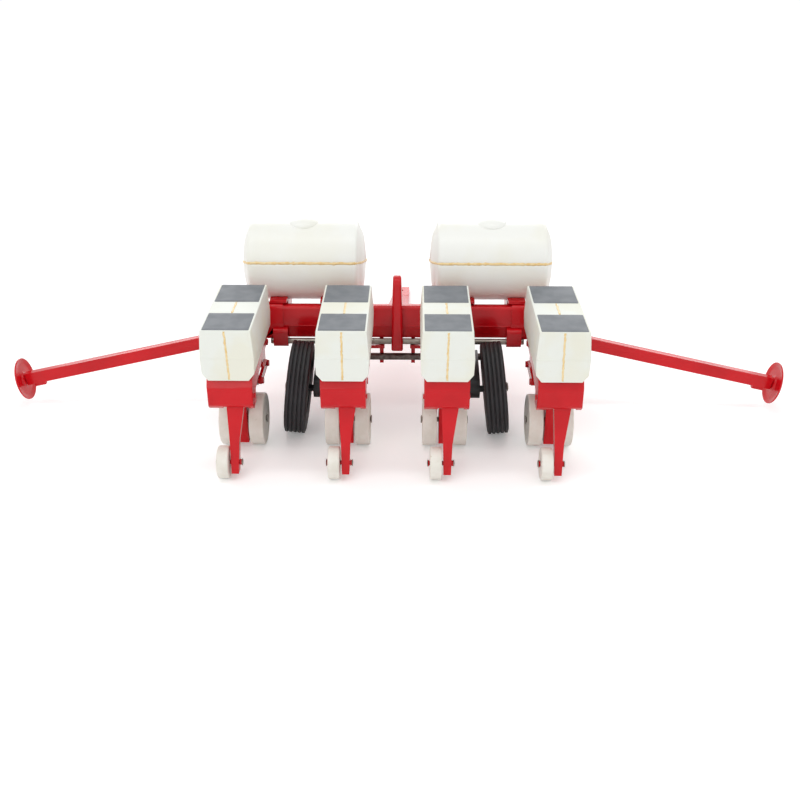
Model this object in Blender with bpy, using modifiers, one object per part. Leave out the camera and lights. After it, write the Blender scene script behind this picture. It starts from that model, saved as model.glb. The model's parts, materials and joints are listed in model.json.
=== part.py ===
"""Scale model of a trailed four-row corn planter.

Metres, +Z up, +Y towards the tongue.  Everything is laid out from the middle of
the toolbar, and one empty then moves the whole model so that its origin is the
centre of its footprint, on the surface that it stands on.
"""

import math

import bmesh
import bpy
from mathutils import Matrix, Vector

for stale in list(bpy.data.objects):
    bpy.data.objects.remove(stale, do_unlink=True)

# ---------------------------------------------------------------- dimensions
GAP = 0.0003                # between pieces that seat on each other
RUNNING = 0.0003            # all round, between a pin and its hole
WHEEL_SEGMENTS = 20
PIN_SEGMENTS = 8
SKIN = 0.001                # how far a joined shape reaches into its neighbour

# Toolbar: a tall six-sided tube, its sides widest a little below the middle
BAR_Z = 0.0592
BAR_HEIGHT = 0.0202
BAR_DEPTH = 0.0094
BAR_FLAT = 0.0066
BAR_RIDGE_DROP = 0.0020
BAR_HALF_LENGTH = 0.105
SLEEVE_X = (0.0700, 0.0815)
SLEEVE_WALL = 0.0012
BLOCK_X = (0.0672, 0.0762)
BLOCK_REACH = 0.0040        # behind the middle of the lift rod
BLOCK_DROP = 0.0028         # below the middle of the lift rod
BLOCK_RISE = 0.0070         # above the bottom of the toolbar

# Rods below the toolbar
LIFT_ROD_RADIUS = 0.00185
LIFT_ROD_OVERHANG = 0.002
ROCKSHAFT_RADIUS = 0.0022
ROCKSHAFT_Y = -0.0020
ROCKSHAFT_Z = 0.0356
HANGER_X = 0.0098
HANGER_WIDTH = 0.0024
FLANGE_X = (0.0079, 0.0166)
FLANGE_THICKNESS = 0.0020

# Rows
INNER_ROW_X = 0.0285
OUTER_ROW_X = 0.0905
LINK_LENGTH = 0.0250
LINK_SPACING = 0.0140
LOWER_PIVOT_Z = 0.0360
FRONT_PIVOT_REACH = 0.0091  # from the back of the toolbar to the front pivots
LINK_PIN_RADIUS = 0.0015
LINK_THICKNESS = 0.0018
LINK_HALF_HEIGHT = 0.0026
CHEEK_INNER = 0.0062
CHEEK_THICKNESS = 0.0020
BRACKET_WEB = 0.0030
BRACKET_CAP = 0.0022

# Hopper: one long box that holds two bins
HOPPER_LENGTH = 0.0707
HOPPER_HEIGHT = 0.0294
HOPPER_BOTTOM = 0.0593
HOPPER_WIDTH = 0.0294
HOPPER_TOP_WIDTH = 0.0272
HOPPER_FOOT_WIDTH = 0.0222
HOPPER_CHAMFER = 0.0040
HOPPER_WALL = 0.0016
HOPPER_NOSE = 0.0134        # from the back of the toolbar to the front of the hopper

# Row unit frame
FRAME_WIDTH = 0.0250
FRAME_BLOCK_LENGTH = 0.0128
FRAME_BLOCK_HEIGHT = 0.0160
FRAME_WALL = 0.0021
FRAME_RAIL = 0.0020
SEAT_THICKNESS = 0.0024
SHANK_WIDTH = 0.0068
SHANK_TIP_Z = 0.0040

# Wheels that follow the ground
GAUGE_RADIUS = 0.0154
GAUGE_WIDTH = 0.0084
GAUGE_SPACE = 0.0092        # between the two wheels of a pair
GAUGE_SETBACK = 0.0092      # behind the rear link pivots
GAUGE_AXLE_RADIUS = 0.0015
RIVET_HEAD = 0.0009
PRESS_RADIUS = 0.0093
PRESS_WIDTH = 0.0066
PRESS_WHEEL_X = -0.0057
PRESS_SETBACK = 0.0010      # behind the back of the hopper
PRESS_RIVET_RADIUS = 0.0013
PRESS_ARM_X = 0.0008
PRESS_ARM_FOOT_WIDTH = 0.0042
PRESS_ARM_HEAD_X = 0.0023
PRESS_ARM_HEAD_WIDTH = 0.0110
PRESS_ARM_WAIST_Z = 0.0215
PRESS_ARM_THICKNESS = 0.0054
PRESS_ARM_FOOT_Z = 0.0042
PRESS_PIVOT_INSET = 0.0076  # ahead of the back of the hopper
PRESS_PIVOT_RADIUS = 0.0014

# Transport wheels on arms from the rockshaft
WHEEL_RADIUS = 0.0278
WHEEL_WIDTH = 0.0130
WHEEL_X = 0.0588
WHEEL_SETBACK = 0.0292      # behind the rockshaft
WHEEL_CAMBER = math.radians(6)
RIM_RADIUS = 0.0175
TREAD_DEPTH = 0.0012
ARM_X = (0.0434, 0.0500)
ARM_EYE_RADIUS = 0.0044
ARM_HUB_RADIUS = 0.0065
AXLE_RADIUS = 0.0020

# Tanks
TANK_X = 0.0575
TANK_Y = 0.0212
TANK_Z = 0.0909
TANK_RADIUS = 0.0243
TANK_LENGTH = 0.0760
TANK_DOME = 0.0050
TANK_SHOULDER = 0.0045
TANK_WALL = 0.0016
TANK_SEAM_TILT = math.radians(13.5)
FILLER_RADIUS = 0.0090
FILLER_HEIGHT = 0.0028
CRADLE_OFFSET = 0.0155      # from the middle of the tank
CRADLE_WIDTH = 0.0105
CRADLE_RAIL = 0.0035

# Tongue and mast
TONGUE_WIDTH = 0.0130
TONGUE_REACH = 0.2110       # from the middle of the toolbar to the tip
TONGUE_DEPTH = 0.0085
HITCH_PLATE = 0.0026
HITCH_PLATE_LENGTH = 0.0300
HITCH_HOLE_RADIUS = 0.0016
HITCH_HOLES = (0.0080, 0.0190)  # back from the tip
MAST_TOP = 0.0903
MAST_FOOT = 0.0430
MAST_FOOT_WIDTH = 0.0072
MAST_TOP_WIDTH = 0.0050
MAST_DEPTH = 0.0068

# Row markers
MARKER_PIVOT_REACH = 0.0060  # beyond the end of the toolbar
MARKER_PIVOT_Z = 0.0464
MARKER_DROOP = math.radians(12.8)
MARKER_LENGTH = 0.1285
MARKER_HEIGHT = 0.0076
MARKER_PIN_RADIUS = 0.0015
MARKER_EAR = 0.0020
DISC_RADIUS = 0.0133
DISC_DISH = 0.0030
DISC_THICKNESS = 0.0012
DISC_HUB_RADIUS = 0.0042

# Places that follow from the sizes
BAR_TOP = BAR_Z + BAR_HEIGHT / 2
BAR_BOTTOM = BAR_Z - BAR_HEIGHT / 2
BAR_BACK = -BAR_DEPTH / 2
LIFT_ROD_Y = BAR_BACK - 0.0001
LIFT_ROD_Z = BAR_BOTTOM - LIFT_ROD_RADIUS - GAP / 2
MARKER_PIVOT_X = BAR_HALF_LENGTH + MARKER_PIVOT_REACH
MARKER_DEPTH = BAR_DEPTH - 2 * (MARKER_EAR + GAP)
FRONT_PIVOT_Y = BAR_BACK - FRONT_PIVOT_REACH
REAR_PIVOT_Y = FRONT_PIVOT_Y - LINK_LENGTH
UPPER_PIVOT_Z = LOWER_PIVOT_Z + LINK_SPACING
CHEEK_OUTER = CHEEK_INNER + CHEEK_THICKNESS
LINK_INNER = CHEEK_OUTER + GAP
LINK_OUTER = LINK_INNER + LINK_THICKNESS
HOPPER_FRONT = BAR_BACK - HOPPER_NOSE
HOPPER_BACK = HOPPER_FRONT - HOPPER_LENGTH
HOPPER_TOP = HOPPER_BOTTOM + HOPPER_HEIGHT
SEAT_TOP = HOPPER_BOTTOM - GAP
GAUGE_Y = REAR_PIVOT_Y - GAUGE_SETBACK
GAUGE_INNER = GAUGE_SPACE / 2
GAUGE_OUTER = GAUGE_INNER + GAUGE_WIDTH
PRESS_Y = HOPPER_BACK - PRESS_SETBACK
PRESS_PIVOT_Y = HOPPER_BACK + PRESS_PIVOT_INSET
PRESS_PIVOT_Z = SEAT_TOP - 0.0122
WHEEL_Y = ROCKSHAFT_Y - WHEEL_SETBACK
WHEEL_Z = WHEEL_RADIUS * math.cos(WHEEL_CAMBER) + WHEEL_WIDTH / 2 * math.sin(WHEEL_CAMBER)
RAIL_Y = BAR_DEPTH / 2 + SLEEVE_WALL + GAP
CRADLE_FOOT = BAR_TOP + SLEEVE_WALL + GAP
TONGUE_Y = RAIL_Y + CRADLE_RAIL + GAP
TONGUE_TOP = BAR_Z + 0.0045
MODEL_BACK = PRESS_Y - PRESS_RADIUS
ROW_X = (-OUTER_ROW_X, -INNER_ROW_X, INNER_ROW_X, OUTER_ROW_X)

# Colour, roughness and metallic value of each finish
FINISHES = {
    "red_enamel": ((0.64, 0.014, 0.024), 0.25, 0.0),
    "cream_plastic": ((0.84, 0.85, 0.79), 0.40, 0.0),
    "ivory_plastic": ((0.76, 0.74, 0.67), 0.45, 0.0),
    "black_rubber": ((0.022, 0.021, 0.023), 0.60, 0.0),
    "black_enamel": ((0.018, 0.018, 0.020), 0.35, 0.0),
    "bright_steel": ((0.56, 0.54, 0.50), 0.35, 1.0),
    "dark_steel": ((0.16, 0.15, 0.15), 0.45, 1.0),
}

planter = bpy.data.collections.new("corn_planter")
cutters = bpy.data.collections.new("cutters")
for collection in (planter, cutters):
    bpy.context.scene.collection.children.link(collection)


# ------------------------------------------------------------ shape functions
def settled(guide):
    """The mesh that an object with modifiers, or a curve, evaluates to, welded and facing out."""
    bpy.context.scene.collection.objects.link(guide)
    depsgraph = bpy.context.evaluated_depsgraph_get()
    mesh = bpy.data.meshes.new_from_object(guide.evaluated_get(depsgraph))
    bpy.data.objects.remove(guide, do_unlink=True)
    shape = bmesh.new()
    shape.from_mesh(mesh)
    bmesh.ops.remove_doubles(shape, verts=shape.verts, dist=1e-6)
    bmesh.ops.recalc_face_normals(shape, faces=shape.faces)
    shape.to_mesh(mesh)
    shape.free()
    return mesh


def block(low, high):
    """A box between two corners."""
    shape = bmesh.new()
    bmesh.ops.create_cube(shape, size=1.0)
    low, high = Vector(low), Vector(high)
    bmesh.ops.scale(shape, vec=high - low, verts=shape.verts)
    bmesh.ops.translate(shape, vec=(low + high) / 2, verts=shape.verts)
    return finished(shape)


def finished(shape):
    """A mesh from a bmesh."""
    mesh = bpy.data.meshes.new("shape")
    shape.to_mesh(mesh)
    shape.free()
    return mesh


def rod(radius, start, end, segments=PIN_SEGMENTS):
    """A round bar between two points."""
    start, end = Vector(start), Vector(end)
    shape = bmesh.new()
    bmesh.ops.create_cone(shape, cap_ends=True, segments=segments, radius1=radius, radius2=radius,
                          depth=(end - start).length)
    turn = Vector((0, 0, 1)).rotation_difference(end - start).to_matrix().to_4x4()
    bmesh.ops.transform(shape, matrix=Matrix.Translation((start + end) / 2) @ turn, verts=shape.verts)
    return finished(shape)


def side_plate(outline, low, high):
    """A flat outline of (y, z) points, solid from x = low to x = high."""
    mesh = flat_outline(outline, high - low)
    mesh.transform(Matrix(((0, 0, 1, (low + high) / 2), (1, 0, 0, 0), (0, 1, 0, 0), (0, 0, 0, 1))))
    return mesh


def end_plate(outline, low, high):
    """A flat outline of (x, z) points, solid from y = low to y = high."""
    mesh = flat_outline(outline, high - low)
    mesh.transform(Matrix(((1, 0, 0, 0), (0, 0, -1, (low + high) / 2), (0, 1, 0, 0), (0, 0, 0, 1))))
    return mesh


def flat_outline(outline, thickness):
    """A closed 2D curve, filled and extruded about its own plane."""
    curve = bpy.data.curves.new("outline", "CURVE")
    curve.dimensions = "2D"
    curve.fill_mode = "BOTH"
    curve.extrude = thickness / 2
    spline = curve.splines.new("POLY")
    spline.points.add(len(outline) - 1)
    for point, place in zip(spline.points, outline):
        point.co = (*place, 0, 1)
    spline.use_cyclic_u = True
    return settled(bpy.data.objects.new("outline", curve))


def turned(profile, segments=WHEEL_SEGMENTS, closed=True):
    """A profile of (x, radius) points turned round the X axis."""
    outline = bmesh.new()
    points = [outline.verts.new((along, 0, radius)) for along, radius in profile]
    for pair in zip(points, points[1:] + points[:1] if closed else points[1:]):
        outline.edges.new(pair)
    guide = bpy.data.objects.new("profile", finished(outline))
    screw = guide.modifiers.new("turn", "SCREW")
    screw.axis = "X"
    screw.steps = screw.render_steps = segments
    screw.use_merge_vertices = True
    screw.merge_threshold = 0.000001
    return settled(guide)


def arc(centre, radius, start, end, steps):
    """Points on an arc; angles in degrees, from the first axis of the outline."""
    angles = [math.radians(start + (end - start) * i / steps) for i in range(steps + 1)]
    return [(centre[0] + radius * math.cos(a), centre[1] + radius * math.sin(a)) for a in angles]


def strap(first, first_radius, second, second_radius, steps=6):
    """Outline of a bar with a round eye at each end."""
    along = math.degrees(math.atan2(second[1] - first[1], second[0] - first[0]))
    length = math.dist(first, second)
    lean = math.degrees(math.acos((first_radius - second_radius) / length))
    return (arc(first, first_radius, along + lean, along + 360 - lean, steps)
            + arc(second, second_radius, along - lean, along + lean, steps))


# ----------------------------------------------------------- object functions
def add(name, mesh, finish, parent, pivot=(0, 0, 0)):
    """A named piece with its own material, its origin at the pivot."""
    mesh.transform(Matrix.Translation(-Vector(pivot)))
    mesh.shade_smooth()
    mesh.set_sharp_from_angle(angle=math.radians(35))
    colour, roughness, metallic = FINISHES[finish]
    coat = bpy.data.materials.new(name + "_" + finish)
    coat.use_nodes = True
    shader = coat.node_tree.nodes["Principled BSDF"]
    shader.inputs["Base Color"].default_value = (*colour, 1)
    shader.inputs["Roughness"].default_value = roughness
    shader.inputs["Metallic"].default_value = metallic
    mesh.materials.clear()
    mesh.materials.append(coat)
    piece = bpy.data.objects.new(name, mesh)
    piece.parent = parent
    piece.location = pivot
    planter.objects.link(piece)
    return piece


def shape_by(piece, operation, mesh):
    """Cut a mesh from a piece, or join it on; the mesh is in the piece's parent's frame."""
    tool = bpy.data.objects.new(piece.name + "_" + operation.lower(), mesh)
    tool.parent = piece.parent
    tool.hide_render = True
    tool.display_type = "WIRE"
    cutters.objects.link(tool)
    boolean = piece.modifiers.new(operation.lower(), "BOOLEAN")
    boolean.operation = operation
    boolean.object = tool


def cut(piece, *meshes):
    for mesh in meshes:
        shape_by(piece, "DIFFERENCE", mesh)


def join(piece, *meshes):
    for mesh in meshes:
        shape_by(piece, "UNION", mesh)


def empty(name, location, parent=None):
    marker = bpy.data.objects.new(name, None)
    marker.location = location
    marker.parent = parent
    planter.objects.link(marker)
    return marker


def across(x, y, z):
    """Two points that span the part from -x to +x at one place."""
    return (-x, y, z), (x, y, z)


# ------------------------------------------------------------------ main frame
def bar_section(grow=0.0):
    """The toolbar's six-sided outline of (y, z) points."""
    flat, half, top = BAR_FLAT / 2 + grow / 2, BAR_DEPTH / 2 + grow, BAR_HEIGHT / 2 + grow
    ridge = BAR_Z - BAR_RIDGE_DROP
    return [(-flat, BAR_Z + top), (-half, ridge), (-flat, BAR_Z - top),
            (flat, BAR_Z - top), (half, ridge), (flat, BAR_Z + top)]


def mirrored(low, high, side):
    """A span on the +X side, or its mirror image on the other."""
    return (low, high) if side > 0 else (-high, -low)


def build_toolbar(origin):
    toolbar = add("toolbar", side_plate(bar_section(), -BAR_HALF_LENGTH, BAR_HALF_LENGTH),
                  "red_enamel", origin)
    # Each hanger cups the rockshaft from the front and leaves its back open
    hanger = [(LIFT_ROD_Y + LIFT_ROD_RADIUS + 2 * GAP, BAR_BOTTOM + SKIN),
              *arc((ROCKSHAFT_Y, ROCKSHAFT_Z), ARM_EYE_RADIUS, 270, 390, 4),
              (BAR_FLAT / 2, BAR_BOTTOM + SKIN)]
    flange_top = LIFT_ROD_Z - LIFT_ROD_RADIUS - 2 * GAP
    ear_back = BAR_DEPTH / 2 - MARKER_EAR
    for side in (-1, 1):
        join(toolbar, side_plate(bar_section(SLEEVE_WALL), *mirrored(*SLEEVE_X, side)))
        low, high = mirrored(*BLOCK_X, side)
        join(toolbar, block((low, LIFT_ROD_Y - BLOCK_REACH, LIFT_ROD_Z - BLOCK_DROP),
                            (high, 0, BAR_BOTTOM + BLOCK_RISE)))
        low, high = mirrored(HANGER_X - HANGER_WIDTH / 2, HANGER_X + HANGER_WIDTH / 2, side)
        join(toolbar, side_plate(hanger, low, high))
        low, high = mirrored(*FLANGE_X, side)
        join(toolbar, block((low, LIFT_ROD_Y - 0.0010, flange_top - FLANGE_THICKNESS),
                            (high, BAR_FLAT / 2, flange_top)))
        low, high = mirrored(BAR_HALF_LENGTH - 0.0055, MARKER_PIVOT_X + 0.0040, side)
        for near in (-ear_back - MARKER_EAR, ear_back):
            join(toolbar, block((low, near, MARKER_PIVOT_Z - 0.0042),
                                (high, near + MARKER_EAR, BAR_Z + 0.0040)))
        cut(toolbar, rod(MARKER_PIN_RADIUS + RUNNING, (side * MARKER_PIVOT_X, -0.02, MARKER_PIVOT_Z),
                         (side * MARKER_PIVOT_X, 0.02, MARKER_PIVOT_Z)))
    cut(toolbar, rod(ROCKSHAFT_RADIUS + RUNNING, *across(0.03, ROCKSHAFT_Y, ROCKSHAFT_Z)),
        rod(LIFT_ROD_RADIUS + RUNNING, *across(0.09, LIFT_ROD_Y, LIFT_ROD_Z)))
    reach = BLOCK_X[1] + LIFT_ROD_OVERHANG
    add("lift_rod", rod(LIFT_ROD_RADIUS, *across(reach, LIFT_ROD_Y, LIFT_ROD_Z)),
        "bright_steel", origin)


def build_tongue_and_mast(origin):
    tip = TONGUE_REACH
    plate_start = tip - HITCH_PLATE_LENGTH
    outline = [(TONGUE_Y, TONGUE_TOP), (TONGUE_Y, TONGUE_TOP - 1.4 * TONGUE_DEPTH),
               (plate_start - 0.004, 0), (tip, 0), (tip, HITCH_PLATE),
               (plate_start, HITCH_PLATE), (plate_start - 0.004, TONGUE_DEPTH)]
    half = TONGUE_WIDTH / 2
    tongue = add("hitch_tongue", side_plate(outline, -half, half), "red_enamel", origin)
    join(tongue, block((-0.0135, TONGUE_Y, BAR_BOTTOM + 0.002),
                       (0.0135, TONGUE_Y + 0.003, TONGUE_TOP)))
    for back in HITCH_HOLES:
        cut(tongue, rod(HITCH_HOLE_RADIUS, (0, tip - back, -0.01), (0, tip - back, 0.01), 16))

    back = BAR_BACK - MAST_DEPTH
    face = BAR_BACK - GAP
    step = LIFT_ROD_Y - LIFT_ROD_RADIUS - 2 * GAP
    crown = MAST_TOP - MAST_DEPTH * 0.8
    outline = [(back, MAST_FOOT), *arc((back + MAST_DEPTH * 0.8, crown), MAST_DEPTH * 0.8, 180, 20, 6),
               (BAR_DEPTH / 2, BAR_TOP + GAP), (face, BAR_TOP + GAP), (face, BAR_BOTTOM + 0.001),
               (step, BAR_BOTTOM + 0.001), (step, MAST_FOOT)]
    mast = side_plate(outline, -MAST_FOOT_WIDTH / 2, MAST_FOOT_WIDTH / 2)
    for corner in mast.vertices:
        height = (corner.co.z - MAST_FOOT) / (MAST_TOP - MAST_FOOT)
        corner.co.x *= 1 - height * (1 - MAST_TOP_WIDTH / MAST_FOOT_WIDTH)
    add("centre_mast", mast, "red_enamel", origin)


# ----------------------------------------------------------------------- tanks
def build_tanks(origin):
    reach = TANK_X + CRADLE_OFFSET + CRADLE_WIDTH / 2 + 0.0003
    rail_top = BAR_Z + 0.0040
    rail_foot = BAR_BOTTOM + 0.0045
    frame = add("tank_frame", block((-reach, RAIL_Y, rail_foot), (reach, RAIL_Y + CRADLE_RAIL, rail_top)),
                "red_enamel", origin)
    seat = arc((TANK_Y, TANK_Z), TANK_RADIUS + GAP, 228, 312, 10)
    heel = TANK_Z - TANK_RADIUS
    cradle = [(-0.0020, CRADLE_FOOT), (RAIL_Y, CRADLE_FOOT), (RAIL_Y, rail_foot + 0.0005),
              (RAIL_Y + CRADLE_RAIL - 0.0005, rail_foot + 0.0005),
              (TANK_Y + 0.004, heel - 0.006), (seat[-1][0] + 0.001, seat[-1][1] - 0.001),
              *reversed(seat), (-0.0020, seat[0][1] - 0.0002)]
    for side in (-1, 1):
        for offset in (-CRADLE_OFFSET, CRADLE_OFFSET):
            middle = side * TANK_X + offset
            join(frame, side_plate(cradle, middle - CRADLE_WIDTH / 2, middle + CRADLE_WIDTH / 2))
        build_tank(origin, side)


def tank_profile(inset):
    """From the middle of one end to the middle of the other, as (x, radius) points."""
    half, radius = TANK_LENGTH / 2 - inset, TANK_RADIUS - inset
    shoulder = arc((half - TANK_DOME - TANK_SHOULDER, radius - TANK_SHOULDER), TANK_SHOULDER, 90, 15, 2)
    end = [(-x, r) for x, r in reversed(shoulder)]
    return [(-half, 0), (-half + 0.0004, radius * 0.45), *end, *shoulder,
            (half - 0.0004, radius * 0.45), (half, 0)]


def build_tank(origin, side):
    """Two moulded half shells that meet at a tilted seam."""
    name = "left" if side < 0 else "right"
    place = Matrix.Translation((side * TANK_X, TANK_Y, TANK_Z)) @ Matrix.Rotation(-TANK_SEAM_TILT, 4, "X")
    big = 0.06
    for part, low, high in (("lower", -big, -GAP / 2), ("upper", GAP / 2, big)):
        shell = turned(tank_profile(0), closed=False)
        shell.transform(place)
        half = add("tank_{}_{}".format(part, name), shell, "cream_plastic", origin)
        hollow = turned(tank_profile(TANK_WALL), closed=False)
        keep_out = block((-big, -big, -high), (big, big, -low)) if part == "upper" else \
            block((-big, -big, -GAP / 2), (big, big, big))
        for tool in (hollow, keep_out):
            tool.transform(place)
        cut(half, hollow)
        if part == "upper":
            top = TANK_Z + TANK_RADIUS
            join(half, rod(FILLER_RADIUS, (side * TANK_X, TANK_Y, top - 0.0030),
                           (side * TANK_X, TANK_Y, top + FILLER_HEIGHT), WHEEL_SEGMENTS))
        cut(half, keep_out)


# ------------------------------------------------------------ transport wheels
def build_transport(origin):
    shaft = (0, ROCKSHAFT_Y, ROCKSHAFT_Z)
    add("rockshaft", rod(ROCKSHAFT_RADIUS, *across(ARM_X[1] + 0.002, *shaft[1:])),
        "dark_steel", origin, shaft)
    half = WHEEL_WIDTH / 2
    ribs = []
    for i in range(3):
        left = -half + 0.0012 + i * (WHEEL_WIDTH - 0.0024 + 0.0008) / 3
        right = left + (WHEEL_WIDTH - 0.0024 + 0.0008) / 3 - 0.0008
        ribs += [(left, WHEEL_RADIUS), (right, WHEEL_RADIUS)]
        if i < 2:
            ribs += [(right + 0.0001, WHEEL_RADIUS - TREAD_DEPTH), (right + 0.0007, WHEEL_RADIUS - TREAD_DEPTH)]
    tyre = [(-half + 0.001, RIM_RADIUS + GAP), (-half, RIM_RADIUS + 0.003), (-half, WHEEL_RADIUS - 0.002),
            *ribs, (half, WHEEL_RADIUS - 0.002), (half, RIM_RADIUS + 0.003), (half - 0.001, RIM_RADIUS + GAP)]
    hub = half - 0.002
    rim = [(-hub, AXLE_RADIUS + RUNNING), (-hub, 0.0055), (-0.0015, 0.0075), (-0.0015, RIM_RADIUS - 0.0025),
           (-half + 0.0016, RIM_RADIUS), (half - 0.0016, RIM_RADIUS), (0.0015, RIM_RADIUS - 0.0025),
           (0.0015, 0.0075), (hub, 0.0055), (hub, AXLE_RADIUS + RUNNING)]
    for side, name in ((-1, "left"), (1, "right")):
        centre = Vector((side * WHEEL_X, WHEEL_Y, WHEEL_Z))
        lean = Matrix.Translation(centre) @ Matrix.Rotation(-side * WHEEL_CAMBER, 4, "Y")
        outline = strap((ROCKSHAFT_Y, ROCKSHAFT_Z), ARM_EYE_RADIUS, (WHEEL_Y, WHEEL_Z), ARM_HUB_RADIUS, 6)
        arm = add("transport_arm_" + name, side_plate(outline, *mirrored(*ARM_X, side)),
                  "black_enamel", origin, shaft)
        axle = rod(AXLE_RADIUS, (-side * (WHEEL_X - ARM_X[0] - 0.002), 0, 0), (side * (half + 0.0012), 0, 0), 16)
        axle.transform(lean)
        join(arm, axle)
        cut(arm, rod(ROCKSHAFT_RADIUS + GAP, *across(0.06, *shaft[1:])))
        for part, profile, finish in (("tyre", tyre, "black_rubber"), ("rim", rim, "black_enamel")):
            wheel = turned(profile, WHEEL_SEGMENTS + 4)
            wheel.transform(lean)
            add("transport_{}_{}".format(part, name), wheel, finish, origin, centre)


# ----------------------------------------------------------------- row markers
def build_markers(origin):
    for side, name in ((-1, "left"), (1, "right")):
        pivot = Vector((side * MARKER_PIVOT_X, 0, MARKER_PIVOT_Z))
        droop = Matrix.Translation(pivot) @ Matrix.Rotation(side * MARKER_DROOP, 4, "Y")
        half = MARKER_DEPTH / 2
        low, high = mirrored(0, MARKER_LENGTH, side)
        beam = block((low, -half, -MARKER_HEIGHT / 2), (high, half, MARKER_HEIGHT / 2))
        pin_reach = BAR_DEPTH / 2 + 0.0012
        eye = rod(MARKER_HEIGHT / 2, (0, -half + 0.0001, 0), (0, half - 0.0001, 0), 16)
        pin = rod(MARKER_PIN_RADIUS, (0, -pin_reach, 0), (0, pin_reach, 0))
        low, high = mirrored(MARKER_LENGTH - 0.011, MARKER_LENGTH - 0.004, side)
        lug = block((low, -half + 0.001, -MARKER_HEIGHT / 2 - 0.0022), (high, half - 0.001, 0))
        end = MARKER_LENGTH + 0.0046
        stub = rod(0.0014, (side * (MARKER_LENGTH - 0.004), 0, 0), (side * end, 0, 0))
        for mesh in (beam, eye, pin, lug, stub):
            mesh.transform(droop)
        arm = add("marker_arm_" + name, beam, "red_enamel", origin, pivot)
        join(arm, eye, pin, lug, stub)
        bore = 0.0014 + RUNNING
        start = MARKER_LENGTH + GAP
        face = start + DISC_DISH
        dish = [(start, bore), (start, DISC_HUB_RADIUS), (start + 0.0012, DISC_HUB_RADIUS + 0.0006),
                (face - DISC_THICKNESS, DISC_RADIUS * 0.75), (face - DISC_THICKNESS - 0.001, DISC_RADIUS),
                (face - 0.001, DISC_RADIUS), (face, DISC_RADIUS * 0.75), (start + 0.0026, DISC_HUB_RADIUS),
                (start + 0.0026, bore)]
        disc = turned([(side * x, r) for x, r in dish])
        disc.transform(droop)
        add("marker_disc_" + name, disc, "red_enamel", origin, droop @ Vector((side * start, 0, 0)))


# ------------------------------------------------------------------- row units
def build_bracket(row, number):
    """Hooks over the toolbar; its two cheeks hold the front pins of the links."""
    boss = LINK_HALF_HEIGHT + 0.0004
    web_back = BAR_BACK - GAP - BRACKET_WEB
    outline = [(BAR_FLAT / 2, BAR_TOP + GAP + BRACKET_CAP), (web_back, BAR_TOP + GAP + BRACKET_CAP),
               (web_back, UPPER_PIVOT_Z + boss + 0.001),
               *arc((FRONT_PIVOT_Y, UPPER_PIVOT_Z), boss, 80, 180, 4),
               *arc((FRONT_PIVOT_Y, LOWER_PIVOT_Z), boss, 180, 280, 4),
               (web_back, LOWER_PIVOT_Z - boss - 0.001), (BAR_BACK - GAP, LOWER_PIVOT_Z - boss - 0.001),
               (BAR_BACK - GAP, BAR_TOP + GAP), (BAR_FLAT / 2, BAR_TOP + GAP)]
    bracket = add("mount_bracket_{}".format(number), side_plate(outline, -CHEEK_OUTER, CHEEK_OUTER),
                  "red_enamel", row)
    cut(bracket,
        block((-CHEEK_INNER, FRONT_PIVOT_Y - 0.01, LOWER_PIVOT_Z - 0.01),
              (CHEEK_INNER, web_back, UPPER_PIVOT_Z + 0.01)),
        rod(LINK_PIN_RADIUS + RUNNING, *across(0.02, FRONT_PIVOT_Y, UPPER_PIVOT_Z)),
        rod(LINK_PIN_RADIUS + RUNNING, *across(0.02, FRONT_PIVOT_Y, LOWER_PIVOT_Z)),
        rod(LIFT_ROD_RADIUS + RUNNING, *across(0.02, LIFT_ROD_Y, LIFT_ROD_Z), 16))


def build_link(row, name, height):
    """Two straps joined by the headed pins that run through the cheeks."""
    front, rear = (FRONT_PIVOT_Y, height), (REAR_PIVOT_Y, height)
    outline = strap(front, LINK_HALF_HEIGHT, rear, LINK_HALF_HEIGHT, 3)
    link = add(name, side_plate(outline, LINK_INNER, LINK_OUTER), "red_enamel", row, (0, *front))
    join(link, side_plate(outline, -LINK_OUTER, -LINK_INNER))
    head, radius = LINK_OUTER + 0.0013, LINK_PIN_RADIUS
    side = [(LINK_OUTER - 0.0003, radius), (LINK_OUTER - 0.0003, radius + 0.0007),
            (head, radius + 0.0005), (head, 0)]
    profile = [(-x, r) for x, r in reversed(side)] + side
    for y, z in (front, rear):
        pin = turned(profile, PIN_SEGMENTS, closed=False)
        pin.transform(Matrix.Translation((0, y, z)))
        join(link, pin)


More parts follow.
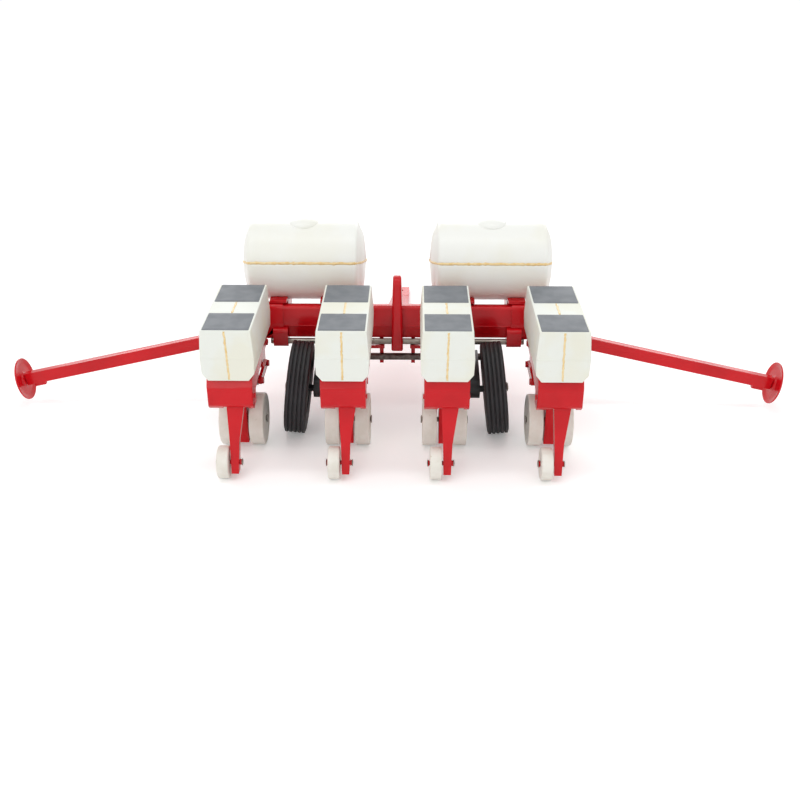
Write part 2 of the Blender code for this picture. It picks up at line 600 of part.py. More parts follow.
def build_unit_frame(row, number):
    """Rear block, seat and rails under the hopper, cheeks for the links, and the shank."""
    half = FRAME_WIDTH / 2
    back = HOPPER_BACK + 0.0002
    foot = SEAT_TOP - FRAME_BLOCK_HEIGHT
    block_front = back + FRAME_BLOCK_LENGTH
    rail_front = HOPPER_FRONT - 0.0055
    outline = [(back, foot + 0.001), (back, SEAT_TOP - 0.0050), (back + 0.0026, SEAT_TOP),
               (rail_front, SEAT_TOP), (rail_front, SEAT_TOP - 0.0042),
               (REAR_PIVOT_Y - 0.012, SEAT_TOP - 0.0060), (block_front, SEAT_TOP - 0.0105),
               (block_front, foot - 0.0020), (back + 0.004, foot - 0.0024)]
    frame = add("unit_frame_{}".format(number), side_plate(outline, -half, half), "red_enamel", row,
                (0, REAR_PIVOT_Y, LOWER_PIVOT_Z))
    inner = half - FRAME_RAIL
    arm_half = PRESS_ARM_HEAD_WIDTH / 2 + 0.0016
    recess_top = PRESS_PIVOT_Z + 0.0038
    cut(frame,
        block((-inner, block_front, foot - 0.02), (inner, rail_front + 0.01, SEAT_TOP - SEAT_THICKNESS)),
        block((PRESS_ARM_HEAD_X - arm_half, back + FRAME_WALL, foot - 0.02),
              (PRESS_ARM_HEAD_X + arm_half, block_front + 0.001, recess_top)),
        rod(PRESS_PIVOT_RADIUS + RUNNING, *across(0.02, PRESS_PIVOT_Y, PRESS_PIVOT_Z)))
    boss = LINK_HALF_HEIGHT + 0.0004
    top = SEAT_TOP - SEAT_THICKNESS + SKIN
    cheek = [(REAR_PIVOT_Y + boss, top), (REAR_PIVOT_Y - 0.0075, top), (REAR_PIVOT_Y - 0.0060, LOWER_PIVOT_Z),
             *arc((REAR_PIVOT_Y, LOWER_PIVOT_Z), boss, 225, 360, 5)]
    shank = [(REAR_PIVOT_Y - 0.0028, top), (REAR_PIVOT_Y - 0.0240, top), (GAUGE_Y - 0.0120, GAUGE_RADIUS + 0.008),
             (GAUGE_Y - 0.0095, SHANK_TIP_Z), (GAUGE_Y + 0.0010, SHANK_TIP_Z),
             (GAUGE_Y + 0.0058, GAUGE_RADIUS + 0.004)]
    join(frame, side_plate(shank, -SHANK_WIDTH / 2, SHANK_WIDTH / 2),
         side_plate(cheek, CHEEK_INNER, CHEEK_OUTER), side_plate(cheek, -CHEEK_OUTER, -CHEEK_INNER))
    cut(frame,
        rod(LINK_PIN_RADIUS + RUNNING, *across(0.011, REAR_PIVOT_Y, UPPER_PIVOT_Z)),
        rod(LINK_PIN_RADIUS + RUNNING, *across(0.011, REAR_PIVOT_Y, LOWER_PIVOT_Z)),
        rod(GAUGE_AXLE_RADIUS + RUNNING, *across(0.02, GAUGE_Y, GAUGE_RADIUS)))


def hopper_section(inset, foot):
    """Half-turn symmetric outline of (x, z) points, wider at mid height than at the top."""
    side = [(HOPPER_FOOT_WIDTH / 2 - inset, foot),
            (HOPPER_FOOT_WIDTH / 2 - inset, HOPPER_BOTTOM + inset * 0.4),
            (HOPPER_WIDTH / 2 - 0.0004 - inset, HOPPER_BOTTOM + HOPPER_CHAMFER + inset * 0.4),
            (HOPPER_WIDTH / 2 - inset, HOPPER_BOTTOM + HOPPER_HEIGHT * 0.45),
            (HOPPER_TOP_WIDTH / 2 - inset, HOPPER_TOP - inset)]
    if not inset:
        side = side[1:]
    return side + [(-x, z) for x, z in reversed(side)]


def build_hopper(row, number):
    hopper = add("hopper_{}".format(number), end_plate(hopper_section(0, HOPPER_BOTTOM), HOPPER_BACK, HOPPER_FRONT),
                 "cream_plastic", row)
    hollow = hopper_section(HOPPER_WALL, HOPPER_BOTTOM - SKIN)
    cut(hopper, end_plate(hollow, HOPPER_BACK + HOPPER_WALL, HOPPER_FRONT - HOPPER_WALL))


def wheel_profile(radius, bore, width):
    """A plain moulded wheel with softened edges."""
    half = width / 2
    edge = 0.0009
    side = [(half, bore), (half, radius - edge), (half - edge, radius)]
    return side + [(-x, r) for x, r in reversed(side)]


def build_gauge_wheels(row, number):
    place = Matrix.Translation((0, GAUGE_Y, GAUGE_RADIUS))
    centre = (0, GAUGE_Y, GAUGE_RADIUS)
    radius, end = GAUGE_AXLE_RADIUS, GAUGE_OUTER + GAP
    side = [(end, radius), (end, radius + RIVET_HEAD), (end + 0.0007, radius + 0.0003), (end + 0.0007, 0)]
    axle = turned([(-x, r) for x, r in reversed(side)] + side, PIN_SEGMENTS, closed=False)
    axle.transform(place)
    add("gauge_axle_{}".format(number), axle, "bright_steel", row, centre)
    for side, name in ((-1, "left"), (1, "right")):
        wheel = turned(wheel_profile(GAUGE_RADIUS, radius + GAP, GAUGE_WIDTH), WHEEL_SEGMENTS)
        wheel.transform(Matrix.Translation((side * (GAUGE_INNER + GAUGE_WIDTH / 2), 0, 0)))
        wheel.transform(place)
        add("gauge_wheel_{}_{}".format(name, number), wheel, "ivory_plastic", row, centre)


def build_press_wheel(row, number):
    pivot = (0, PRESS_PIVOT_Y, PRESS_PIVOT_Z)
    foot, head = PRESS_ARM_FOOT_WIDTH / 2, PRESS_ARM_HEAD_WIDTH / 2
    top = PRESS_PIVOT_Z + 0.0024
    left, right = PRESS_ARM_X - foot, PRESS_ARM_X + foot
    outline = [(left, PRESS_ARM_FOOT_Z), (right, PRESS_ARM_FOOT_Z), (right + 0.0006, PRESS_ARM_WAIST_Z),
               (PRESS_ARM_HEAD_X + head, top), (PRESS_ARM_HEAD_X - head, top),
               (left - 0.0004, PRESS_ARM_WAIST_Z)]
    blade = end_plate(outline, -PRESS_ARM_THICKNESS / 2, PRESS_ARM_THICKNESS / 2)
    lean = (PRESS_PIVOT_Y - PRESS_Y) / (PRESS_PIVOT_Z - PRESS_RADIUS)
    for corner in blade.vertices:
        corner.co.y += PRESS_Y - 0.0008 + lean * (corner.co.z - PRESS_RADIUS)
    arm = add("press_arm_{}".format(number), blade, "red_enamel", row, pivot)
    wheel_end = PRESS_WHEEL_X - PRESS_WIDTH / 2 - GAP
    radius = PRESS_RIVET_RADIUS
    arm_side = PRESS_ARM_X + foot + 0.0004
    rivet = turned([(wheel_end - 0.0007, 0), (wheel_end - 0.0007, radius + 0.0003),
                    (wheel_end, radius + RIVET_HEAD), (wheel_end, radius), (arm_side, radius),
                    (arm_side, radius + 0.0006), (arm_side + 0.0010, radius + 0.0002), (arm_side + 0.0010, 0)],
                   PIN_SEGMENTS, closed=False)
    rivet.transform(Matrix.Translation((0, PRESS_Y, PRESS_RADIUS)))
    join(arm, rod(PRESS_PIVOT_RADIUS, *across(FRAME_WIDTH / 2 + 0.0006, *pivot[1:])), rivet)
    wheel = turned(wheel_profile(PRESS_RADIUS, radius + RUNNING, PRESS_WIDTH), WHEEL_SEGMENTS)
    wheel.transform(Matrix.Translation((PRESS_WHEEL_X, PRESS_Y, PRESS_RADIUS)))
    add("press_wheel_{}".format(number), wheel, "ivory_plastic", row, (PRESS_WHEEL_X, PRESS_Y, PRESS_RADIUS))


def build_row(origin, number, x):
    row = empty("row_{}".format(number), (x, 0, 0), origin)
    build_bracket(row, number)
    build_link(row, "upper_link_{}".format(number), UPPER_PIVOT_Z)
    build_link(row, "lower_link_{}".format(number), LOWER_PIVOT_Z)
    build_unit_frame(row, number)
    build_hopper(row, number)
    build_gauge_wheels(row, number)
    build_press_wheel(row, number)


footprint = empty("footprint_centre", (0, -(TONGUE_REACH + MODEL_BACK) / 2, 0))
build_toolbar(footprint)
build_tongue_and_mast(footprint)
build_tanks(footprint)
build_transport(footprint)
build_markers(footprint)
for index, place in enumerate(ROW_X, start=1):
    build_row(footprint, index, place)
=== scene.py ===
"""Looks of a die-cast and moulded-plastic scale model of a four-row corn planter."""

import json
import math

import bmesh
import bpy
from mathutils import Matrix, Vector, noise


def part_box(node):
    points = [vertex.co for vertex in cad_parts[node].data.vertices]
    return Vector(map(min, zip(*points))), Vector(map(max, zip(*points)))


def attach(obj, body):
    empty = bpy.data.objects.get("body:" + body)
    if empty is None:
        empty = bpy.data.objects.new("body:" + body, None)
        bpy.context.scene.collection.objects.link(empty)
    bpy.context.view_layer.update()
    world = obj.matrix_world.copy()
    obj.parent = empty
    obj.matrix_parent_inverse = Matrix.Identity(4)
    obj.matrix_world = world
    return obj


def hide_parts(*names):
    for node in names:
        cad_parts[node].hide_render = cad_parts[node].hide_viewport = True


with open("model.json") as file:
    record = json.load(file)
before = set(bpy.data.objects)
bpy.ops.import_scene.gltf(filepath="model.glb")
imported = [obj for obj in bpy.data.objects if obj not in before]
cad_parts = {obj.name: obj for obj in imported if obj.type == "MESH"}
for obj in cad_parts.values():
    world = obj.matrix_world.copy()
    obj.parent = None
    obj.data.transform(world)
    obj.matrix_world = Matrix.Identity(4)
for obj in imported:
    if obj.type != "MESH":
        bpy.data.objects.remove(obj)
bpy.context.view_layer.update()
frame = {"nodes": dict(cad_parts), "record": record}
BODIES = frame["record"]["behaviour"]["bodies"]
JOINTS = {joint["name"]: joint for joint in frame["record"]["behaviour"]["joints"]}
MM = 0.001
FULL_TURN = 2 * math.pi
SIDES = (("left", -1), ("right", 1))
ROWS = (1, 2, 3, 4)


# ------------------------------------------------------------------- finishes
SPECK_MM = 2.5          # spacing of the specks where a finish has rubbed or soiled
GRAIN_DEPTH_MM = 0.05   # of the surface grain, at a bump of 1


def linear(hex_colour):
    """An sRGB hex colour as linear RGBA."""
    channels = [int(hex_colour[i:i + 2], 16) / 255 for i in (1, 3, 5)]
    curve = [c / 12.92 if c <= 0.04045 else ((c + 0.055) / 1.055) ** 2.4 for c in channels]
    return (*curve, 1.0)


def node(tree, kind, settings=None, values=None, links=None):
    """Adds a node with its settings, its input values, and links from other sockets."""
    made = tree.nodes.new("ShaderNode" + kind)
    for name, value in (settings or {}).items():
        setattr(made, name, value)
    for name, value in (values or {}).items():
        made.inputs[name].default_value = value
    for name, socket in (links or {}).items():
        tree.links.new(socket, made.inputs[name])
    return made


def finish(name, base, patch, roughness, grain_mm, bump, patch_mm, patch_share=0.5, wear=None, **shader):
    """A coating or moulding: two close colours in soft patches, and a fine surface grain.

    A larger patch share spreads the second colour. A wear colour shows in small specks.
    """
    coat = bpy.data.materials.new(name)
    coat.use_nodes = True
    tree = coat.node_tree
    surface = tree.nodes["Principled BSDF"]
    place = node(tree, "TexCoord").outputs["Object"]
    patches = node(tree, "TexNoise", values={"Scale": 1 / (patch_mm * MM), "Detail": 4.0},
                   links={"Vector": place})
    spread = node(tree, "MapRange", values={"From Min": 0.5 - 0.2 * patch_share, "From Max": 0.62},
                  links={"Value": patches.outputs["Fac"]})
    colour = node(tree, "MixRGB", values={"Color1": linear(base), "Color2": linear(patch)},
                  links={"Fac": spread.outputs["Result"]}).outputs["Color"]
    grain = node(tree, "TexNoise", values={"Scale": 1 / (grain_mm * MM), "Detail": 2.0},
                 links={"Vector": place})
    if wear:
        specks = node(tree, "TexNoise", links={"Vector": place},
                      values={"Scale": 1 / (SPECK_MM * MM), "Detail": 6.0, "Roughness": 0.7})
        rubbed = node(tree, "MapRange", values={"From Min": 0.66, "From Max": 0.72},
                      links={"Value": specks.outputs["Fac"]})
        colour = node(tree, "MixRGB", values={"Color2": linear(wear)},
                      links={"Fac": rubbed.outputs["Result"], "Color1": colour}).outputs["Color"]
    sheen = node(tree, "MapRange", values={"To Min": roughness * 0.8, "To Max": min(1.0, roughness * 1.25)},
                 links={"Value": patches.outputs["Fac"]})
    relief = node(tree, "Bump", values={"Strength": bump, "Distance": GRAIN_DEPTH_MM * MM},
                  links={"Height": grain.outputs["Fac"]})
    tree.links.new(colour, surface.inputs["Base Color"])
    tree.links.new(sheen.outputs["Result"], surface.inputs["Roughness"])
    tree.links.new(relief.outputs["Normal"], surface.inputs["Normal"])
    for socket, value in shader.items():
        surface.inputs[socket.replace("_", " ")].default_value = value
    return coat


# Sprayed gloss enamel over a zinc casting: wet-looking, with a faint orange peel
red_enamel = finish("red_gloss_enamel", "#D0101C", "#C20D18", roughness=0.20, grain_mm=1.4, bump=0.05,
                    patch_mm=30.0, Specular_IOR_Level=0.3, Coat_Weight=0.06)
# Injection-moulded polystyrene that has aged from white towards cream
aged_styrene = finish("aged_cream_polystyrene", "#ECEFE8", "#EBEBDD", roughness=0.50, grain_mm=0.8,
                      bump=0.10, patch_mm=26.0, patch_share=0.3, wear="#E4DFD0", Specular_IOR_Level=0.25)
# The tanks' mouldings: the same plastic, smoother and a little whiter
tank_styrene = finish("aged_tank_polystyrene", "#F3F4EF", "#F1F1E8", roughness=0.32, grain_mm=2.5, bump=0.08,
                      patch_mm=30.0, patch_share=0.3, Specular_IOR_Level=0.4)
# Solvent glue that has yellowed where the halves meet
yellowed_glue = finish("yellowed_solvent_glue", "#F3DAA6", "#EBC886", roughness=0.34, grain_mm=0.6, bump=0.4,
                       patch_mm=3.0)
# Grey ink brushed over the moulded lids, streaky and satin
lid_paint = finish("grey_lid_paint", "#7F8388", "#787C81", roughness=0.52, grain_mm=0.9, bump=0.25,
                   patch_mm=8.0, wear="#878B90", Specular_IOR_Level=0.18)
# Ivory polythene wheels, a little soiled in the pores
ivory_polythene = finish("ivory_polythene", "#EDEAE1", "#E4E0D5", roughness=0.46, grain_mm=0.7, bump=0.25,
                         patch_mm=8.0, wear="#D3CBBB")
# Soft vinyl tyres, near black, dusty in places
tyre_vinyl = finish("black_vinyl_tyre", "#1B1A1D", "#242327", roughness=0.52, grain_mm=0.7, bump=0.4,
                    patch_mm=8.0)
# Satin black paint on small castings
black_paint = finish("satin_black_paint", "#1D1C1F", "#26252A", roughness=0.38, grain_mm=1.0, bump=0.2,
                     patch_mm=9.0)
# Plain drawn steel, dulled by handling
drawn_steel = finish("dull_drawn_steel", "#A09B92", "#8C867D", roughness=0.34, grain_mm=0.5, bump=0.2,
                     patch_mm=4.0, Metallic=1.0)
# Steel that has gone brown-grey with oxide
oxidised_steel = finish("oxidised_steel", "#77706C", "#5C5653", roughness=0.45, grain_mm=0.5, bump=0.3,
                        patch_mm=3.0, patch_share=0.6, Metallic=1.0)


# --------------------------------------------------------------------- pieces
EASED_ANGLE = math.radians(32)      # edges sharper than this get a casting's small rounding
MERGE_GAP = 0.001 * MM               # points nearer than this are one


def body_for(cad_node):
    """The body that a CAD node belongs to."""
    return next(body for body, nodes in BODIES.items() if cad_node in nodes)


def piece(name, shape, coat, body, stands_for=(), crisp=32.0):
    """Makes a bmesh a shown piece that rides on a body. Edges past the crisp angle in degrees stay sharp."""
    mesh = bpy.data.meshes.new(name)
    shape.to_mesh(mesh)
    shape.free()
    mesh.shade_smooth()
    mesh.set_sharp_from_angle(angle=math.radians(crisp))
    mesh.materials.append(coat)
    made = bpy.data.objects.new(name, mesh)
    bpy.context.scene.collection.objects.link(made)
    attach(made, body)
    if stands_for:
        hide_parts(*stands_for)
    return made


def softened(cad_node, coat, radius_mm, segments=2, rounders=(), crisp=40.0):
    """A casting or moulding with the edges of its CAD solid rounded over.

    Each rounder is a test on an edge's middle and run, and the radius in mm of the edges that pass it.
    """
    shape = bmesh.new()
    shape.from_mesh(frame["nodes"][cad_node].data)
    bmesh.ops.remove_doubles(shape, verts=shape.verts, dist=2 * MERGE_GAP)
    bmesh.ops.dissolve_limit(shape, angle_limit=math.radians(1.5), verts=shape.verts, edges=shape.edges)
    for test, wide_mm in rounders:
        chosen = [e for e in shape.edges
                  if test((e.verts[0].co + e.verts[1].co) / 2, e.verts[1].co - e.verts[0].co)]
        bmesh.ops.bevel(shape, geom=chosen, offset=wide_mm * MM, segments=8, profile=0.5, affect="EDGES",
                        material=-1)
    made = piece(cad_node + "_body", shape, coat, body_for(cad_node), (cad_node,), crisp)
    rounding = made.modifiers.new("rounding", "BEVEL")
    rounding.width = radius_mm * MM
    rounding.segments = segments
    rounding.limit_method = "ANGLE"
    rounding.angle_limit = EASED_ANGLE
    rounding.use_clamp_overlap = True


def turned(profile, place, steps, start=0.0, sweep=FULL_TURN):
    """A bmesh of (x, radius) points, in metres, turned round the X axis and then put in place."""
    shape = bmesh.new()
    points = [shape.verts.new((along, 0, radius)) for along, radius in profile]
    edges = [shape.edges.new(pair) for pair in zip(points, points[1:])]
    bmesh.ops.rotate(shape, cent=(0, 0, 0), matrix=Matrix.Rotation(start, 3, "X"), verts=points)
    bmesh.ops.spin(shape, geom=points + edges, cent=(0, 0, 0), axis=(1, 0, 0), angle=sweep, steps=steps,
                   use_merge=sweep == FULL_TURN)
    bmesh.ops.remove_doubles(shape, verts=shape.verts, dist=MERGE_GAP)
    bmesh.ops.recalc_face_normals(shape, faces=shape.faces)
    bmesh.ops.transform(shape, matrix=place, verts=shape.verts)
    return shape


def rounded(corners, radius, steps=4):
    """An open (x, radius) profile with its inner corners rounded."""
    path = [corners[0]]
    for before, corner, after in zip(corners, corners[1:], corners[2:]):
        corner = Vector(corner)
        back, ahead = Vector(before) - corner, Vector(after) - corner
        reach = min(radius, back.length * 0.45, ahead.length * 0.45)
        first, last = corner + back.normalized() * reach, corner + ahead.normalized() * reach
        for i in range(steps + 1):
            t = i / steps
            path.append(tuple(first.lerp(corner, t).lerp(corner.lerp(last, t), t)))
    return path + [corners[-1]]


def both_faces(half, middle):
    """A profile that runs from one face to its middle, carried on to the other face."""
    return half + [(2 * middle - x, r) for x, r in reversed(half[:-1])]


def on_joint(name):
    """The place whose X axis is a joint's axis."""
    axis = Vector(JOINTS[name]["axis"])
    turn = Vector((1, 0, 0)).rotation_difference(axis).to_matrix().to_4x4()
    return Matrix.Translation(JOINTS[name]["pos_m"]) @ turn


def reach_of(cad_node, place):
    """Where a CAD node starts and ends along a place's X axis, and its largest radius there."""
    undo = place.inverted()
    points = [undo @ v.co for v in frame["nodes"][cad_node].data.vertices]
    return min(p.x for p in points), max(p.x for p in points), max(math.hypot(p.y, p.z) for p in points)


# ------------------------------------------------------------ castings and rods
BAR_BACK_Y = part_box("centre_mast")[1][1] - 9.4 * MM
BAR_CORNER_Z = 68 * MM                  # the toolbar's upper corners lie above this
RIDGE_Z = 57.2 * MM                     # the ridge along the toolbar's back, where its die parts
RIDGE_SPAN = (4.4 * MM, 69.6 * MM)      # from the mast to a sleeve
PARTING_RADIUS = 0.28 * MM
SLEEVE_SPAN = (72 * MM, 80 * MM)        # a sleeve's long edges have their middles here
SLEEVE_FOOT_Z = 56 * MM
END_BLOCK_SPAN = (69 * MM, 74 * MM)     # and an end block's here
END_BLOCK_BACK_Y = BAR_BACK_Y - 2.5 * MM
REAR_BLOCK_INSET = 0.2 * MM             # from the back of a hopper to the back of the block below it


def on_sleeve(middle, run):
    """Whether an edge runs along one of the toolbar's two sleeves."""
    near, far = SLEEVE_SPAN
    return near < abs(middle.x) < far and middle.z > SLEEVE_FOOT_Z and abs(run.x) > 9 * MM


def on_bar_top(middle, run):
    """Whether an edge is one of the toolbar's two upper corners."""
    return middle.z > BAR_CORNER_Z and abs(run.x) > 15 * MM


def on_end_block(middle, run):
    """Whether an edge runs along the back of one of the two blocks under the toolbar's ends."""
    near, far = END_BLOCK_SPAN
    return near < abs(middle.x) < far and middle.y < END_BLOCK_BACK_Y and abs(run.x) > 5 * MM


def on_rear_block(row):
    """A test for the edges round the rear face of a row unit's block."""
    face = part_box("hopper_{}".format(row))[0][1] + REAR_BLOCK_INSET

    def is_corner(middle, run):
        return abs(middle.y - face) < 0.3 * MM and (abs(run.z) > 6 * MM or abs(run.x) > 15 * MM)
    return is_corner


def parting_line(side_name, side):
    """The raised line that the die's parting leaves along the toolbar's ridge."""
    start, end = sorted(side * x for x in RIDGE_SPAN)
    profile = [(start, 0), (start, PARTING_RADIUS), (end, PARTING_RADIUS), (end, 0)]
    place = Matrix.Translation((0, BAR_BACK_Y, RIDGE_Z))
    piece("toolbar_parting_" + side_name, turned(rounded(profile, 0.1 * MM), place, 12), red_enamel, "frame")


def plain_rod(cad_node, coat):
    """A straight cross rod with its ends eased."""
    low_corner, high_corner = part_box(cad_node)
    place = Matrix.Translation((Vector(low_corner) + Vector(high_corner)) / 2)
    low, high, radius = reach_of(cad_node, place)
    profile = rounded([(low, 0), (low, radius), (high, radius), (high, 0)], 0.4 * MM)
    piece(cad_node + "_bar", turned(profile, place, 32), coat, body_for(cad_node), (cad_node,))


softened("toolbar", red_enamel, 0.5, 3, crisp=12.0,
         rounders=((on_sleeve, 3.0), (on_bar_top, 2.0), (on_end_block, 2.6)))
for side_name, side in SIDES:
    parting_line(side_name, side)
for cad_node, radius_mm in (("hitch_tongue", 0.7), ("centre_mast", 1.4), ("tank_frame", 0.6),
                            ("marker_arm_left", 0.6), ("marker_arm_right", 0.6)):
    softened(cad_node, red_enamel, radius_mm, 3)
for side_name, side in SIDES:
    softened("transport_arm_" + side_name, black_paint, 0.6)
for row in ROWS:
    softened("mount_bracket_{}".format(row), red_enamel, 0.35)
    softened("upper_link_{}".format(row), red_enamel, 0.25)
    softened("lower_link_{}".format(row), red_enamel, 0.25)
    softened("unit_frame_{}".format(row), red_enamel, 0.6, 3, rounders=((on_rear_block(row), 1.5),))
    softened("press_arm_{}".format(row), red_enamel, 0.5, 3)
plain_rod("lift_rod", drawn_steel)
plain_rod("rockshaft", oxidised_steel)


# ---------------------------------------------------------------------- wheels
WHEEL_PLAY = 0.25 * MM              # between a bore and what it turns on
MOULDED_RIM = 2.4 * MM              # the flat ring outside a moulded wheel's dish
GAUGE_HEAD_OVERHANG = 0.9 * MM      # a gauge axle's heads beyond its shank
GAUGE_HEAD_DEPTH = 0.7 * MM
PRESS_BORE = 1.6 * MM
PRESS_RIVET_GAP = 1.05 * MM         # from the press wheel's outer face to the head's seat
PRESS_ARM_OFFSET = 6.5 * MM         # from the middle of the press wheel to the middle of its arm
PRESS_ARM_HALF = 2.1 * MM
PRESS_PIN_TAIL = 1.4 * MM           # of the pin beyond the arm
TYRE_RIBS = 5
RIB_GROOVE = 0.8 * MM               # depth of the grooves between the ribs
RIB_GAP = 0.55 * MM
RIB_TAPER = 0.15 * MM
TREAD_INSET = 0.5 * MM              # from a sidewall to the first rib
RIM_BORE = 2.2 * MM


def moulded_wheel(cad_node, place, bore, dish, hub):
    """A polythene wheel with rounded shoulders and a shallow dish in each face, round a raised hub."""
    low, high, radius = reach_of(cad_node, place)
    hub_face = high - 0.1 * MM
    half = [(hub_face, bore), (hub_face, hub), (high - dish, hub + 0.5 * MM),
            (high - dish, radius - MOULDED_RIM - 0.8 * MM), (high, radius - MOULDED_RIM), (high, radius),
            ((low + high) / 2, radius)]
    profile = rounded(both_faces(half, (low + high) / 2), 1.0 * MM) + [half[0]]
    shape = turned(profile, place, 72)
    piece(cad_node + "_moulding", shape, ivory_polythene, body_for(cad_node), (cad_node,))


def rivet_head(name, body, place, at, outward, radius, height):
    """A domed steel head standing on a face, at a distance along a place's X axis."""
    quarter = [math.pi / 2 * i / 6 for i in range(7)]
    dome = [(at, 0)] + [(at + outward * height * math.sin(a), radius * math.cos(a)) for a in quarter]
    piece(name, turned(dome, place, 32), drawn_steel, body)


def gauge_wheels(row):
    """A row's two gauge wheels and the riveted axle that they turn with."""
    axle = "gauge_axle_{}".format(row)
    place = on_joint("gauge_wheels_{}_spin".format(row))
    low, high, head = reach_of(axle, place)
    shank = head - GAUGE_HEAD_OVERHANG
    left, right = low + GAUGE_HEAD_DEPTH, high - GAUGE_HEAD_DEPTH
    profile = rounded([(low, 0), (low, head), (left, head), (left, shank),
                       (right, shank), (right, head), (high, head), (high, 0)], 0.35 * MM)
    piece(axle + "_rivet", turned(profile, place, 32), drawn_steel, body_for(axle), (axle,))
    for side_name, _ in SIDES:
        moulded_wheel("gauge_wheel_{}_{}".format(side_name, row), place, bore=shank + WHEEL_PLAY,
                      dish=0.5 * MM, hub=4.0 * MM)


def press_wheel(row):
    """A row's press wheel, and the two heads of the pin that holds it on its arm."""
    wheel, arm = "press_wheel_{}".format(row), "press_arm_{}".format(row)
    place = on_joint("press_wheel_{}_spin".format(row))
    moulded_wheel(wheel, place, bore=PRESS_BORE, dish=0.35 * MM, hub=3.0 * MM)
    seat = reach_of(wheel, place)[0] - PRESS_RIVET_GAP
    rivet_head("press_rivet_left_{}".format(row), arm, place, seat, -1, radius=2.3 * MM, height=0.5 * MM)
    tail = PRESS_ARM_OFFSET + PRESS_ARM_HALF + PRESS_PIN_TAIL
    rivet_head("press_rivet_right_{}".format(row), arm, place, tail, 1, radius=2.1 * MM, height=0.7 * MM)


def ribbed_tyre(tyre, place, inner):
    """A vinyl tyre with ribs round its tread, from an inner radius outwards."""
    low, high, radius = reach_of(tyre, place)
    rib = (high - low - 2 * TREAD_INSET - (TYRE_RIBS - 1) * RIB_GAP) / TYRE_RIBS
    tread = []
    for i in range(TYRE_RIBS):
        left = low + TREAD_INSET + i * (rib + RIB_GAP)
        right = left + rib
        tread += [(left, radius - RIB_GROOVE), (left + RIB_TAPER, radius),
                  (right - RIB_TAPER, radius), (right, radius - RIB_GROOVE)]
    sidewall = [(1.0 * MM, inner), (0.2 * MM, inner + 1.5 * MM), (0.7 * MM, inner + 2.4 * MM),
                (0.0, inner + 4.5 * MM), (0.1 * MM, radius - 1.6 * MM)]
    section = [(low + x, r) for x, r in sidewall] + tread + [(high - x, r) for x, r in reversed(sidewall)]
    shape = turned(rounded(section, 0.5 * MM, 3) + [section[0]], place, 112)
    piece(tyre + "_ribbed", shape, tyre_vinyl, body_for(tyre), (tyre,))


def dished_rim(rim, place, middle):
    """A black wheel centre with a hub and a deep dish in each face, about a middle along its axle."""
    _, high, radius = reach_of(rim, place)
    hub_face = high - 0.2 * MM
    web_face = middle + 1.6 * MM
    half = [(hub_face, RIM_BORE), (hub_face, 4.6 * MM), (high - 2.6 * MM, 5.6 * MM), (web_face, 8 * MM),
            (web_face, radius - 3.4 * MM), (high, radius - 1.6 * MM), (high, radius), (middle, radius)]
    profile = rounded(both_faces(half, middle), 0.8 * MM, 3) + [half[0]]
    piece(rim + "_dish", turned(profile, place, 72), black_paint, body_for(rim), (rim,))


def transport_wheel(side_name, side):
    """A ribbed transport wheel and the cap on the end of its axle."""
    place = on_joint("transport_wheel_{}_spin".format(side_name))
    tyre, rim, arm = (part + side_name for part in ("transport_tyre_", "transport_rim_", "transport_arm_"))
    ribbed_tyre(tyre, place, reach_of(rim, place)[2] + WHEEL_PLAY)
    low, high, _ = reach_of(tyre, place)
    dished_rim(rim, place, (low + high) / 2)
    arm_start, arm_end, _ = reach_of(arm, place)
    axle_end = arm_end if side > 0 else arm_start
    rivet_head("transport_axle_cap_" + side_name, body_for(arm), place, axle_end + side * 0.02 * MM, side,
               radius=2.9 * MM, height=1.0 * MM)


def marker_disc(side_name, side):
    """A bowl-shaped marker disc and the rivet that holds it on the end of its arm."""
    disc = "marker_disc_" + side_name
    place = on_joint("marker_disc_{}_spin".format(side_name))
    low, high, radius = reach_of(disc, place)
    near = low if side > 0 else high
    depth_mm, edge_mm = (high - low) / MM, radius / MM
    bowl = [(0.1, 1.75), (0.1, 4.0), (1.4, 4.8), (depth_mm - 1.6, 10.2), (depth_mm - 2.7, edge_mm),
            (depth_mm - 1.6, edge_mm), (depth_mm - 0.2, 10.0), (2.7, 4.6), (2.7, 1.75)]
    bowl = [(near + side * x * MM, r * MM) for x, r in bowl]
    shape = turned(rounded(bowl, 0.6 * MM, 3) + [bowl[0]], place, 72)
    piece(disc + "_dish", shape, red_enamel, body_for(disc), (disc,))
    rivet_head("marker_disc_rivet_" + side_name, "marker_arm_" + side_name, place, near + side * 3.9 * MM,
               side, radius=2.4 * MM, height=0.8 * MM)


for row in ROWS:
    gauge_wheels(row)
    press_wheel(row)
for side_name, side in SIDES:
    transport_wheel(side_name, side)
    marker_disc(side_name, side)


# --------------------------------------------------------------------- hoppers
BACKWARD, FORWARD, UPWARD = (0, -1, 0), (0, 1, 0), (0, 0, 1)
BEAD_ARCH = ((-1, -0.08), (-0.55, 0.7), (0, 1), (0.55, 0.7), (1, -0.08))    # across a bead, and its height
BEAD_WANDER = 0.35 * MM
BEAD_UNEVENNESS = 0.6               # as a share of the bead's width
BEAD_WALL = 0.12 * MM
LID_WIDTH = 25.2 * MM
LID_DEPTH = 0.20 * MM               # sunk into the hopper's top
LID_RISE = 0.22 * MM                # and standing above it
LID_WAVES = 5 * MM                  # distance between the swells in the paint
LID_CUTS = 8                        # each way, so that the top can swell
REAR_LID = (1.0 * MM, 25.0 * MM)    # start and end, from the back of the hopper
FRONT_LID = (42.7 * MM, 70.0 * MM)
CREASE_HEIGHT = 13.4 * MM           # of the faint line across the hopper's rear face
REAR_SEAM_LEAN = (0.5 * MM, 0.0, -0.2 * MM, 0.2 * MM)       # sideways over half the seam, row by row
